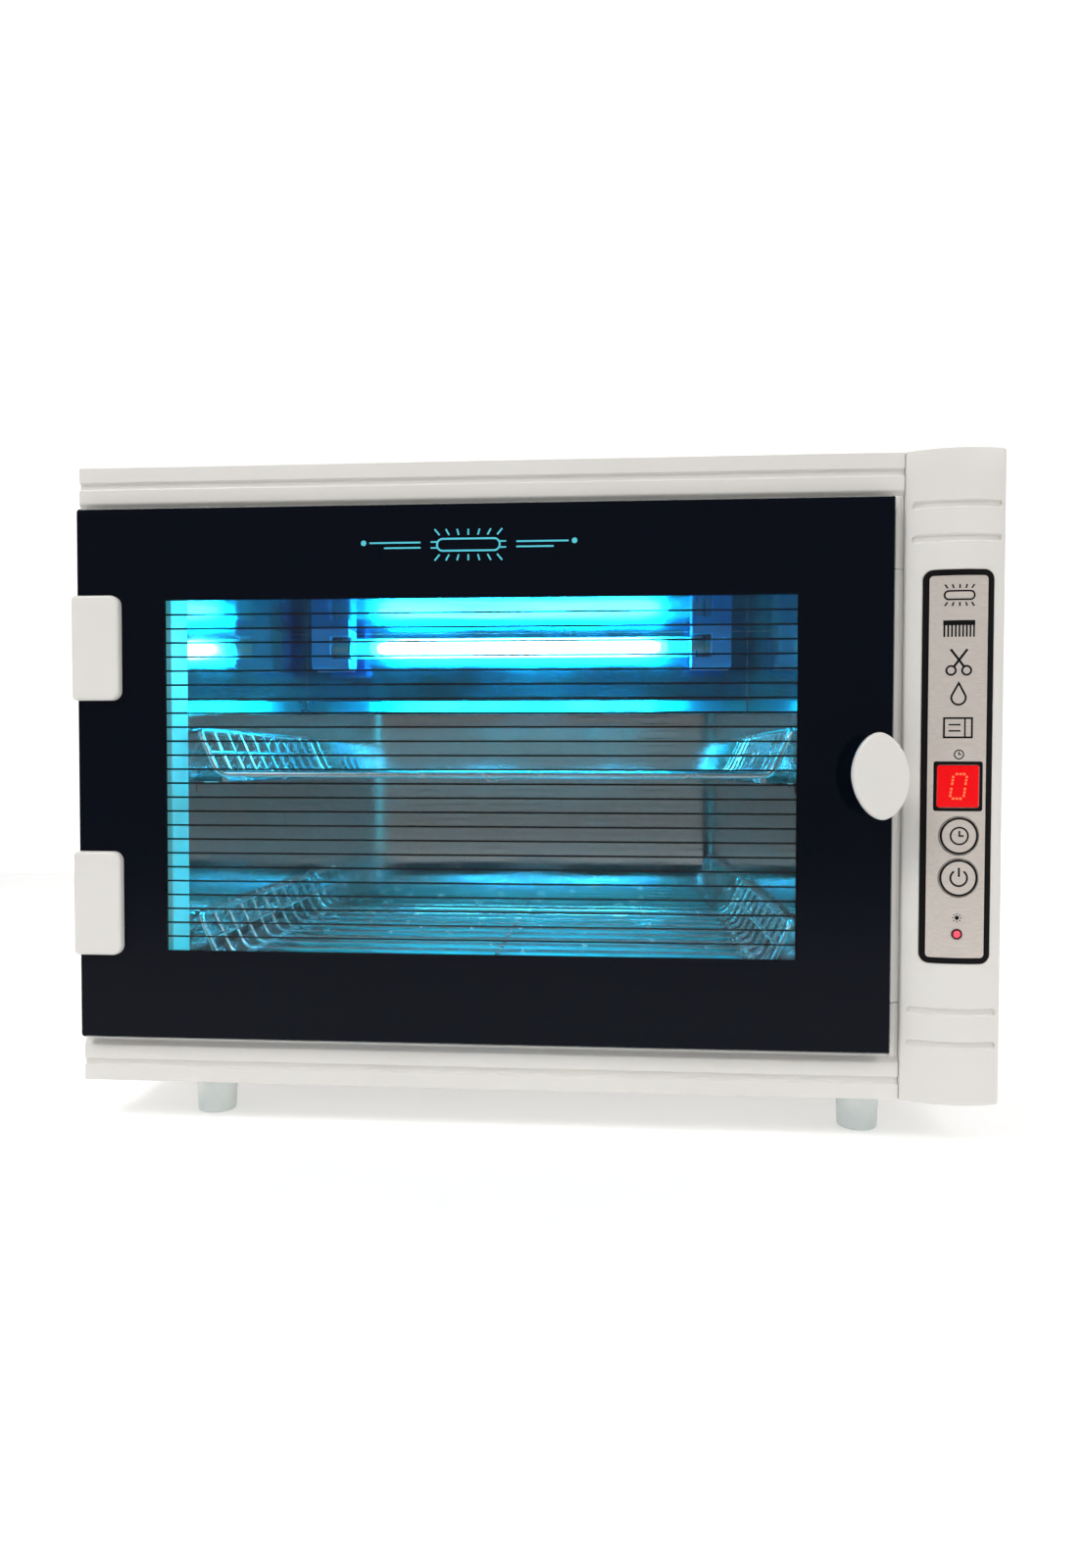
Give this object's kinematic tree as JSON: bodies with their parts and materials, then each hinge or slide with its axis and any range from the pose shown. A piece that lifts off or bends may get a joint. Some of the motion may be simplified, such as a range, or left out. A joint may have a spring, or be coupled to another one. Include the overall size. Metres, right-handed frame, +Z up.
{
  "type": "ultraviolet sterilizer cabinet",
  "caption": "Countertop salon tool sterilizer: mirror-lined cabinet with a hinged dark glass door, wire baskets, an ultraviolet lamp and a control column.",
  "frame": {"origin": "middle of the overall bounding box in plan, at the undersides of the feet", "axes": "+X to the right as seen from the front, +Y from the front to the rear, +Z up"},
  "size_m": [0.5022, 0.3254, 0.368],
  "materials": {
    "white_casing": "fine matt powder coat on folded steel",
    "white_plastic": "satin moulded plastic",
    "mirror_liner": "mirror-polished sheet",
    "chromed_wire": "bright plated wire",
    "zinc_steel": "zinc-plated steel",
    "door_glass": "float glass with a printed black border and fine printed lines",
    "lamp_glass": "quartz glass, lit",
    "lamp_cap": "pressed aluminium",
    "foot_plastic": "moulded soft plastic",
    "silver_label": "printed silver polyester",
    "button_silver": "silver moulded plastic with a printed ring",
    "red_lens": "clear red acrylic, lit from behind",
    "red_led": "red diffused epoxy, lit",
    "dark_plastic": "black moulded plastic",
    "circuit_board": "green solder mask",
    "lead_sleeve": "white silicone sleeve"
  },
  "bodies": {
    "cabinet": {"side_cover_left": "white_casing", "side_cover_right": "white_casing", "top_cover": "white_casing", "base_plate": "white_casing", "rear_cover": "white_casing", "top_rail": "white_plastic", "bottom_rail": "white_plastic", "left_stile": "white_plastic", "right_stile": "white_plastic", "control_column": "white_plastic", "lamp_holder_left": "white_plastic", "lamp_holder_right": "white_plastic", "liner_left": "mirror_liner", "liner_right": "mirror_liner", "liner_floor": "mirror_liner", "liner_ceiling": "mirror_liner", "liner_back": "mirror_liner", "upper_ledge_left": "mirror_liner", "upper_ledge_right": "mirror_liner", "lower_ledge_left": "mirror_liner", "lower_ledge_right": "mirror_liner", "hinge_bracket_lower": "zinc_steel", "hinge_bracket_upper": "zinc_steel", "rear_screw_1": "zinc_steel", "rear_screw_2": "zinc_steel", "rear_screw_3": "zinc_steel", "rear_screw_4": "zinc_steel", "ballast": "zinc_steel", "lamp_tube": "lamp_glass", "lamp_cap_left": "lamp_cap", "lamp_cap_right": "lamp_cap", "foot_front_left": "foot_plastic", "foot_front_right": "foot_plastic", "foot_rear_left": "foot_plastic", "foot_rear_right": "foot_plastic", "control_overlay": "silver_label", "display_lens": "red_lens", "indicator_led": "red_led", "display_module": "dark_plastic", "magnet_catch": "dark_plastic", "mains_inlet": "dark_plastic", "control_board": "circuit_board", "lamp_lead_left": "lead_sleeve", "lamp_lead_right": "lead_sleeve", "mains_lead": "lead_sleeve"},
    "door": {"door_glass": "door_glass", "hinge_cap_lower": "white_plastic", "hinge_cap_upper": "white_plastic", "hinge_plate_lower": "zinc_steel", "hinge_plate_upper": "zinc_steel", "hinge_pin_lower": "zinc_steel", "hinge_pin_upper": "zinc_steel", "door_knob": "white_plastic", "knob_screw": "zinc_steel", "strike_plate": "zinc_steel"},
    "select_key": {"select_button": "button_silver"},
    "power_key": {"power_button": "button_silver"},
    "upper_shelf": {"upper_basket": "chromed_wire"},
    "lower_shelf": {"lower_basket": "chromed_wire"}
  },
  "joints": [
    {"name": "door_hinge", "type": "hinge", "parent": "cabinet", "child": "door", "pos_m": [-0.247, -0.13665, 0.197], "axis": [0, 0, -1], "range_deg": [0, 105]},
    {"name": "select_press", "type": "slide", "parent": "cabinet", "child": "select_key", "axis": [0, 1, 0], "range_m": [0, 0.0008], "stiffness_N_per_m": 1500, "springref_m": -0.0002},
    {"name": "power_press", "type": "slide", "parent": "cabinet", "child": "power_key", "axis": [0, 1, 0], "range_m": [0, 0.0008], "stiffness_N_per_m": 1500, "springref_m": -0.0002},
    {"name": "upper_shelf_slide", "type": "slide", "parent": "cabinet", "child": "upper_shelf", "axis": [0, -1, 0], "range_m": [0, 0.02]},
    {"name": "lower_shelf_slide", "type": "slide", "parent": "cabinet", "child": "lower_shelf", "axis": [0, -1, 0], "range_m": [0, 0.02]}
  ]
}
